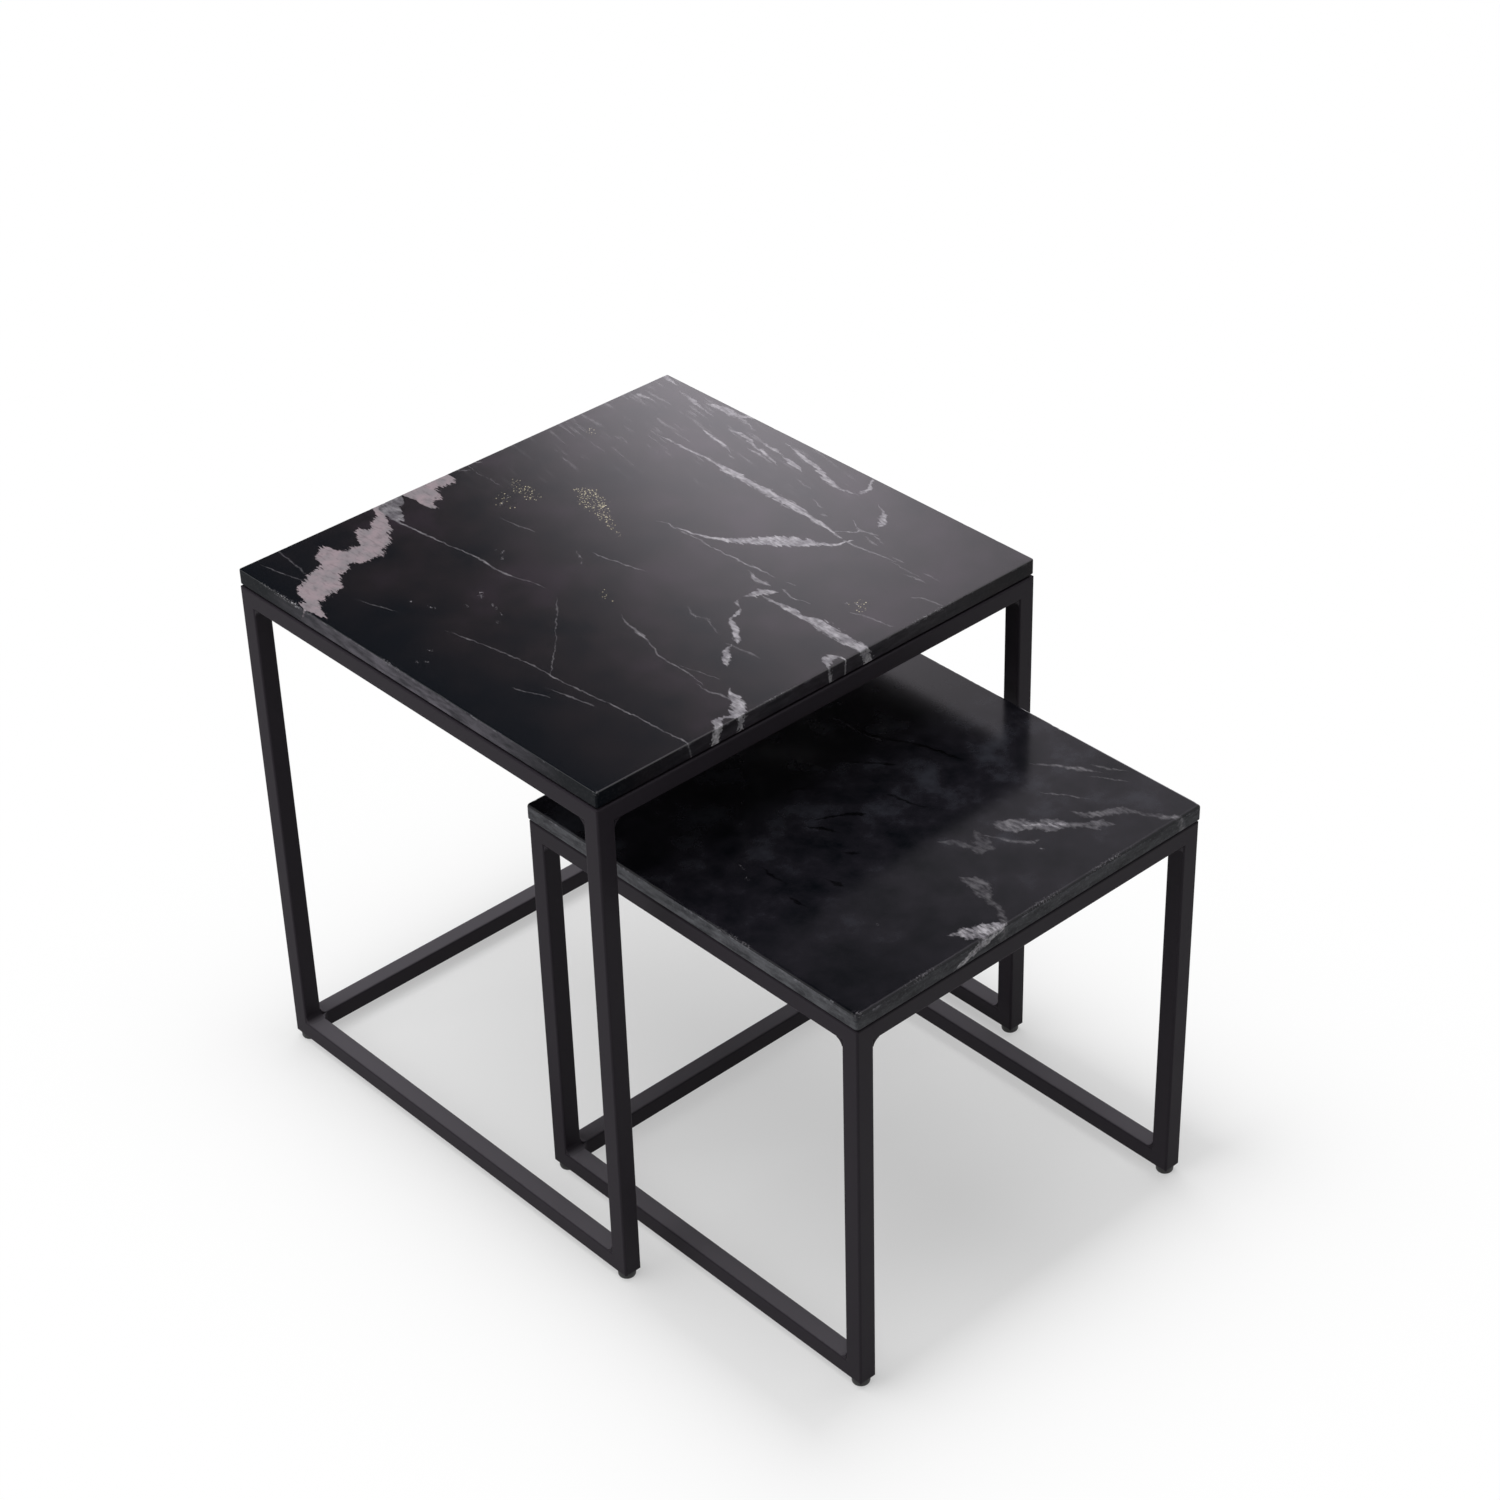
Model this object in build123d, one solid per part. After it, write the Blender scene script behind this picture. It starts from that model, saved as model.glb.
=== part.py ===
"""Set of two nesting tables: marble slabs on welded square-tube frames.

Millimetres, +Z up. The origin lies on the floor under the middle of the pair as it stands, with the small
table part of the way out. -Y is the open front, the way the small table pulls out, and -X is the left side
of someone who faces that front.
"""
import os
from math import sqrt

from build123d import *

# Square tube of both frames
tube = 18.0
tube_wall = 1.5
tube_radius = 2.0
corner_dressing = 2.0

# Weld fillets in the inside corners, dressed flush with the tube's sides
weld_leg = 6.5
weld_throat = 2.3

# Marble slabs
slab = 15.0
slab_corner = 2.0
slab_top_arris = 1.2
slab_lower_arris = 0.8

# Square pads between slab and frame
pad_height = 2.0
pad_width = 12.0

# Push-in glides: a round base under the frame, a stem through the floor rail's underside
glide_diameter = 16.0
glide_height = 7.0
glide_edge = 2.6
stem_diameter = 8.0
stem_length = 9.0
stem_clearance = 0.2

# Large table: outside of its frame, and how far the slab reaches past the frame
large_width = 501.0
large_depth = 480.0
large_frame_height = 499.0
large_overhang = -0.5

# Small table: the room that its frame leaves inside the large one when the two fronts are level
nest_side_room = 32.5
nest_back_room = 63.0
nest_head_room = 84.0
small_overhang = 1.0

# Where the small table stands: how far out of the large one, and how far off its middle
pull_out = 236.0
side_shift = 5.0

small_width = large_width - 2 * (tube + nest_side_room)
small_depth = large_depth - tube - nest_back_room
small_frame_height = large_frame_height - tube - nest_head_room - slab - pad_height


def tube_run(start, end):
    """Square-cut hollow tube between two points of its centre line."""
    along = end - start
    across = Vector(0, 1, 0) if abs(along.X) > 0 else Vector(1, 0, 0)
    inner = tube - 2 * tube_wall
    section = RectangleRounded(tube, tube, tube_radius) - Rectangle(inner, inner)
    return extrude(Plane(start, x_dir=across, z_dir=along) * section, along.length)


def mitred_run(before, start, end, after):
    """Tube from start to end, mitred against the runs that join it from before and go on to after."""
    along = (end - start).normalized()
    run = tube_run(start - along * tube / 2, end + along * tube / 2)
    start_face = Plane(start, x_dir=(1, 0, 0), z_dir=along - (before - start).normalized())
    end_face = Plane(end, x_dir=(1, 0, 0), z_dir=(end - after).normalized() - along)
    run = split(run, bisect_by=start_face, keep=Keep.TOP)
    return split(run, bisect_by=end_face, keep=Keep.TOP)


def side_frame(x, half_depth, low, high):
    """Leg, floor rail, leg and top rail mitred into one closed ring, with dressed outer corners."""
    front, back = -half_depth + tube / 2, half_depth - tube / 2
    floor, ceiling = low + tube / 2, high - tube / 2
    ring = [Vector(x, y, z) for y, z in ((front, floor), (back, floor), (back, ceiling), (front, ceiling))]
    outline = RectangleRounded(2 * half_depth, high - low, corner_dressing)
    side_plane = Plane((x, 0, (low + high) / 2), x_dir=(0, 1, 0), z_dir=(1, 0, 0))
    envelope = extrude(side_plane * outline, tube, both=True)
    pieces = {}
    for i, name in enumerate(["floor_rail", "back_leg", "top_rail", "front_leg"]):
        corners = [ring[(i + k) % 4] for k in (-1, 0, 1, 2)]
        pieces[name] = mitred_run(*corners) & envelope
    for y in (front, back):
        hole = Cylinder((stem_diameter + stem_clearance) / 2, 2 * tube_wall)
        pieces["floor_rail"] -= Pos(x, y, low) * hole
    return pieces


def weld_bead():
    """Concave fillet weld in the corner of two tubes that run along X and Y, its width along Z."""
    hollow = ThreePointArc((weld_leg, 0), (weld_throat, weld_throat), (0, weld_leg))
    legs = Polyline((0, weld_leg), (0, 0), (weld_leg, 0))
    rounded_edge = tube_radius * (1 - sqrt(0.5))
    return extrude(make_face([hollow, legs]), tube / 2 - rounded_edge, both=True)


def weld_corners(half_width, half_depth, low, high):
    """Planes of the weld beads: origin in the corner, X and Y along the two tubes that meet there."""
    x, y = half_width - tube, half_depth - tube
    rail_y = half_depth - tube / 2
    top, floor = high - tube, low + tube
    corners = []
    for side in (-1, 1):
        side_x = side * (half_width - tube / 2)
        inward = Vector(-side, 0, 0)
        for end in (-1, 1):
            along = Vector(0, -end, 0)
            corners.append((Vector(side_x, end * y, floor), along, Vector(0, 0, 1)))
            corners.append((Vector(side_x, end * y, top), along, Vector(0, 0, -1)))
            corners.append((Vector(side * x, end * rail_y, top), inward, Vector(0, 0, -1)))
            corners.append((Vector(side * x, end * y, high - tube / 2), inward, along))
        corners.append((Vector(side * x, rail_y, floor), inward, Vector(0, 0, 1)))
        corners.append((Vector(side * x, y, low + tube / 2), inward, Vector(0, -1, 0)))
    return [Plane(point, x_dir=one, z_dir=one.cross(other)) for point, one, other in corners]


def marble_slab(width, depth):
    """Slab on z = 0 with rounded corners, a rounded upper edge and a small chamfer below."""
    body = extrude(RectangleRounded(width, depth, slab_corner), slab)
    body = fillet(body.edges().group_by(Axis.Z)[-1], slab_top_arris)
    return chamfer(body.edges().group_by(Axis.Z)[0], slab_lower_arris)


def glide():
    """Round foot on z = 0 with its lower edge eased in two bevels, and the stem that holds it in the frame."""
    radius, stem = glide_diameter / 2, stem_diameter / 2
    top = glide_height + stem_length
    ease = glide_edge * (1 - sqrt(0.5))
    profile = Polyline(
        (0, 0),
        (radius - glide_edge, 0),
        (radius - ease, ease),
        (radius, glide_edge),
        (radius, glide_height),
        (stem, glide_height),
        (stem, top),
        (0, top),
        close=True,
    )
    return revolve(Plane.XZ * make_face(profile), Axis.Z)


def build_table(width, depth, frame_height, overhang):
    """All pieces of one table, standing on z = 0 about the Z axis."""
    half_width, half_depth = width / 2, depth / 2
    low, high = glide_height, glide_height + frame_height
    leg_x, leg_y = half_width - tube / 2, half_depth - tube / 2
    pieces = {}
    for side, x in (("left", -leg_x), ("right", leg_x)):
        for name, piece in side_frame(x, half_depth, low, high).items():
            pieces[f"{side}_{name}"] = piece

    span = half_width - tube
    for name, y, z in (
        ("front_top_rail", -leg_y, high - tube / 2),
        ("back_top_rail", leg_y, high - tube / 2),
        ("back_floor_rail", leg_y, low + tube / 2),
    ):
        pieces[name] = tube_run(Vector(-span, y, z), Vector(span, y, z))

    bead = weld_bead()
    corners = weld_corners(half_width, half_depth, low, high)
    pieces["weld_beads"] = Compound([corner * bead for corner in corners])

    foot = glide()
    pieces["glides"] = Compound([Pos(x, y, 0) * foot for x in (-leg_x, leg_x) for y in (-leg_y, leg_y)])

    pad = Pos(0, 0, high + pad_height / 2) * Box(pad_width, pad_width, pad_height)
    spots = [(x, y) for x in (-leg_x, 0, leg_x) for y in (-leg_y, 0, leg_y) if (x, y) != (0, 0)]
    pieces["top_pads"] = Compound([Pos(x, y, 0) * pad for x, y in spots])

    top = marble_slab(width + 2 * overhang, depth + 2 * overhang)
    pieces["marble_top"] = Pos(0, 0, high + pad_height) * top
    return pieces


# The pair's footprint is centred on the origin, from the small table's front to the large one's back
apart = (large_depth - small_depth) / 2 + pull_out
back_reach = large_depth / 2 + max(large_overhang, 0)
front_reach = small_depth / 2 + max(small_overhang, 0)
small_y = (front_reach - back_reach - apart) / 2
tables = {
    "large": (
        Pos(0, small_y + apart, 0),
        build_table(large_width, large_depth, large_frame_height, large_overhang),
    ),
    "small": (
        Pos(side_shift, small_y, 0),
        build_table(small_width, small_depth, small_frame_height, small_overhang),
    ),
}

os.makedirs("parts", exist_ok=True)
for table, (place, pieces) in tables.items():
    for name, piece in pieces.items():
        export_step(place * piece, f"parts/{table}_{name}.step")
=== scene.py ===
"""Looks of the two nesting tables: black veined marble slabs on welded frames with a black powder coat."""

import math

import bmesh
import bpy
from mathutils import Matrix, Quaternion, Vector, noise


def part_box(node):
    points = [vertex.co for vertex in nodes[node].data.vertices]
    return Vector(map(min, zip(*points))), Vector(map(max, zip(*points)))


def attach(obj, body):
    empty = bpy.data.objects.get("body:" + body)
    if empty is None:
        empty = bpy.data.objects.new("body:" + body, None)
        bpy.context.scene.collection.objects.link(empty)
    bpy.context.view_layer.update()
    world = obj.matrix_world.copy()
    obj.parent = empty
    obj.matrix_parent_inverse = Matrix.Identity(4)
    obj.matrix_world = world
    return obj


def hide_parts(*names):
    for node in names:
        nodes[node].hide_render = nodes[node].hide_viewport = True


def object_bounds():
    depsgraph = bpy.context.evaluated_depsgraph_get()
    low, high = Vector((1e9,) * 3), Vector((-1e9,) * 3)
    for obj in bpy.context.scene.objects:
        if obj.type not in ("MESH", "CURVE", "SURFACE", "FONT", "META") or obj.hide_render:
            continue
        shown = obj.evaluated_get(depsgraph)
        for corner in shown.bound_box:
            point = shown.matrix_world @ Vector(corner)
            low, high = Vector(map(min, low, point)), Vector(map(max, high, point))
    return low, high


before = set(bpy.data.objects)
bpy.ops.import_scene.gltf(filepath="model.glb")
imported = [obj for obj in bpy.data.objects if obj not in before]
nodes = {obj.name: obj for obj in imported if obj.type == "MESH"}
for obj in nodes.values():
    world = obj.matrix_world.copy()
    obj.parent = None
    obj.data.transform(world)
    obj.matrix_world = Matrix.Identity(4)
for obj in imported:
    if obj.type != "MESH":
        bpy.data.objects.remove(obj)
cad_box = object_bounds()
scene = bpy.context.scene

MM = 0.001
TABLES = ("large", "small")


# Helpers

def linear(hex_colour):
    """Linear RGBA of an sRGB hex colour such as "1c1a1d"."""
    channels = [int(hex_colour[i:i + 2], 16) / 255 for i in (0, 2, 4)]
    return [c / 12.92 if c <= 0.04045 else ((c + 0.055) / 1.055) ** 2.4 for c in channels] + [1.0]


def add(tree, kind, inputs, **settings):
    """Adds a node with its settings, sets or links its inputs by name or number, and returns its outputs."""
    node = tree.nodes.new("ShaderNode" + kind)
    for name, value in settings.items():
        setattr(node, name, value)
    for key, value in inputs.items():
        if isinstance(value, bpy.types.NodeSocket):
            tree.links.new(value, node.inputs[key])
        else:
            node.inputs[key].default_value = value
    return node.outputs


def node_tree(owner):
    """The emptied node tree of a material or world."""
    owner.use_nodes = True
    owner.node_tree.nodes.clear()
    return owner.node_tree


# Camera: the place, direction and lens at which the tables' edges fall as they do in the photograph
CAMERA_PLACE = Vector((-1625.0, -1847.4, 2071.4)) * MM
CAMERA_AZIMUTH = math.radians(-41.71)
CAMERA_ELEVATION = math.radians(34.45)
CAMERA_ROLL = math.radians(1.78)
CAMERA_SENSOR = 36.0
CAMERA_LENS = 82.26

camera_data = bpy.data.cameras.new("camera")
camera_data.sensor_width = CAMERA_SENSOR
camera_data.lens = CAMERA_LENS
camera = bpy.data.objects.new("camera", camera_data)
scene.collection.objects.link(camera)
camera_back = Vector((
    math.sin(CAMERA_AZIMUTH) * math.cos(CAMERA_ELEVATION),
    -math.cos(CAMERA_AZIMUTH) * math.cos(CAMERA_ELEVATION),
    math.sin(CAMERA_ELEVATION),
))
camera_turn = (-camera_back).to_track_quat("-Z", "Y") @ Quaternion((0, 0, 1), -CAMERA_ROLL)
camera.matrix_world = Matrix.Translation(CAMERA_PLACE) @ camera_turn.to_matrix().to_4x4()
scene.camera = camera
scene.view_settings.view_transform = "Standard"


# Studio: soft lamps from above and from the left, a white surround and a pale floor

def softbox(name, place, target, side, watts):
    """A square soft lamp at place that faces target."""
    lamp = bpy.data.lights.new(name, "AREA")
    lamp.size = side
    lamp.energy = watts
    box = bpy.data.objects.new(name, lamp)
    scene.collection.objects.link(box)
    box.location = place
    box.rotation_mode = "QUATERNION"
    box.rotation_quaternion = (Vector(target) - Vector(place)).to_track_quat("-Z", "Y")
    box.visible_glossy = False


def seen_directly(tree):
    """1 for what the camera, a reflection or clear glass shows, 0 for light that falls on a matt surface."""
    ray = add(tree, "LightPath", {})
    seen = add(tree, "Math", {0: ray["Is Camera Ray"], 1: ray["Is Glossy Ray"]}, operation="MAXIMUM")
    return add(tree, "Math", {0: seen[0], 1: ray["Is Transmission Ray"]}, operation="MAXIMUM")[0]


LAMP_TARGET = (0.0, 0.0, 0.3)
softbox("top_softbox", (-0.1, 0.5, 3.6), LAMP_TARGET, 3.6, 140)
softbox("left_softbox", (-2.6, 0.8, 1.4), LAMP_TARGET, 1.8, 31)

WORLD_LIGHT = 0.16
scene.world = bpy.data.worlds.new("studio")
tree = node_tree(scene.world)
strength = add(tree, "MapRange", {"Value": seen_directly(tree), "To Min": WORLD_LIGHT, "To Max": 1.0})
surround = add(tree, "Background", {"Color": linear("ffffff"), "Strength": strength[0]})
add(tree, "OutputWorld", {"Surface": surround[0]})

FLOOR_SIZE = 40.0
FLOOR_LIFT = 0.46     # share of plain white under the tables, which keeps their shadow pale
FLOOR_FADE = 0.075    # distance from the tables over which their shade falls to a third
floor_paint = bpy.data.materials.new("pale_studio_floor")
tree = node_tree(floor_paint)
place = add(tree, "TexCoord", {})["Object"]
outside = add(tree, "VectorMath", {0: place}, operation="ABSOLUTE")[0]
outside = add(tree, "VectorMath", {0: outside, 1: cad_box[1]}, operation="SUBTRACT")[0]
outside = add(tree, "VectorMath", {0: outside, 1: (0, 0, 0)}, operation="MAXIMUM")[0]
reach = add(tree, "VectorMath", {0: outside}, operation="LENGTH")["Value"]
near = add(tree, "Math", {0: reach, 1: -1 / FLOOR_FADE}, operation="MULTIPLY")[0]
near = add(tree, "Math", {0: near}, operation="EXPONENT")[0]
far = add(tree, "MapRange", {"Value": near, "To Min": 1.0, "To Max": FLOOR_LIFT})[0]
far = add(tree, "Math", {0: far, 1: seen_directly(tree)}, operation="MULTIPLY")[0]
matt = add(tree, "BsdfDiffuse", {"Color": linear("dedede")})[0]
white = add(tree, "Emission", {"Color": linear("ffffff"), "Strength": 1.0})[0]
paint = add(tree, "MixShader", {0: far, 1: matt, 2: white})[0]
add(tree, "OutputMaterial", {"Surface": paint})
bpy.ops.object.select_all(action="DESELECT")
bpy.ops.mesh.primitive_plane_add(size=FLOOR_SIZE)
floor = bpy.context.object
floor.name = "floor"
floor.data.materials.append(floor_paint)

# Backdrop that only the polished tops mirror: a soft glow low on the right, fading to the left and upwards
GLOW_DISTANCE = 3.2
GLOW_AIM = Vector((0.544, 0.657, 0.521)).normalized()
GLOW_SPOT = (0.015, -0.88, 0.0)
GLOW_TURN = math.radians(-26.2)
GLOW_REACH = (0.682, 1.722, 1.0)
GLOW_LEVEL = 4.0
GLOW_EDGE = 0.07
SIDE_GLOW = 1.8       # light that the far right gains over a metre from SIDE_START on
SIDE_START = 0.52
BACKDROP_SIZE = 10.0

backdrop_paint = bpy.data.materials.new("backdrop_glow")
tree = node_tree(backdrop_paint)
place = add(tree, "TexCoord", {})["Object"]
spot = add(tree, "Mapping", {
    "Vector": place, "Location": GLOW_SPOT, "Rotation": (0, 0, GLOW_TURN), "Scale": GLOW_REACH,
}, vector_type="TEXTURE")
reach = add(tree, "VectorMath", {0: spot[0]}, operation="LENGTH")["Value"]
level = add(tree, "MapRange", {"Value": reach, "To Min": GLOW_LEVEL, "To Max": GLOW_EDGE},
            interpolation_type="SMOOTHSTEP")[0]
sideways = add(tree, "SeparateXYZ", {0: place})[0]
side = add(tree, "MapRange", {
    "Value": sideways, "From Min": SIDE_START, "From Max": SIDE_START + 1, "To Max": SIDE_GLOW,
})[0]
level = add(tree, "Math", {0: level, 1: side}, operation="ADD")[0]
glow = add(tree, "Emission", {"Color": linear("fcf6ff"), "Strength": level})[0]
add(tree, "OutputMaterial", {"Surface": glow})
bpy.ops.mesh.primitive_plane_add(size=BACKDROP_SIZE)
backdrop = bpy.context.object
backdrop.name = "backdrop"
backdrop.data.materials.append(backdrop_paint)
low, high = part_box("large_marble_top")
top_middle = Vector(((low.x + high.x) / 2, (low.y + high.y) / 2, high.z))
across = Vector((GLOW_AIM.y, -GLOW_AIM.x, 0)).normalized()
axes = Matrix((across, across.cross(GLOW_AIM), -GLOW_AIM)).transposed()
backdrop.matrix_world = Matrix.Translation(top_middle + GLOW_AIM * GLOW_DISTANCE) @ axes.to_4x4()
backdrop.visible_camera = False
backdrop.visible_diffuse = False
backdrop.visible_shadow = False


# Marble

VEIN_WANDER = 9.0     # size of a vein's small bends, in mm
VEIN_BEND = 5.0       # how far they go, in mm
VEIN_TIP = 3.0        # length over which a vein's end runs out, in mm
NEEDLE_REACH = 6.0    # most that crystal needles fray a wide vein's border, in mm
ROSE_NEEDLE = (1.7, 10, 1.7)  # size of the rose vein's needles, in mm
SEAM_EDGE = 1.6       # how soft a dark seam's border is, in mm
GRAIN = 1.8           # size of a grain of pyrite, in mm
SPOT_DEPTH = 4.0      # how deep a spot of crystals or grains reaches below the top, in mm
FOLIATION = math.radians(-10)  # lean of the stone's grain from the slab's depth
HAZE_SIDE = (0.8, 0.6, 0)  # way to the corner that has pale haze
HAZE_REACH = (0.2, 0.5)    # where the haze starts and is full that way, as shares of the width

# Colours of what lies in the stone. Calcite is mottled between two, and paler where it isn't polished:
# partly the dull honing, partly painted light that makes up for the weaker light on the edges.
CALCITE = {"polished": ("7d7a80", "a9a6ab"), "honed": ("a5a3a8", "d8d6da")}
ROSE_CALCITE = ("7f797d", "8e8186")
SEAM_COLOUR = "020203"
PYRITE_COLOUR = "c6bd9e"
FLECK_COLOUR = "85858a"
CRUSHED_COLOUR = "77767c"

# Sizes of patterns in the stone along x, y and z, in mm
STREAK = (3, 10, 3)
MOTTLE = (14, 14, 14)
SPECK = (1.6, 2.2, 1.6)
WISP = (5, 55, 5)
EDGE_STREAK = (24, 24, 6)
EDGE_FLECK = (3, 3, 2)
EDGE_CHIP = (7, 7, 5)

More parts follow.
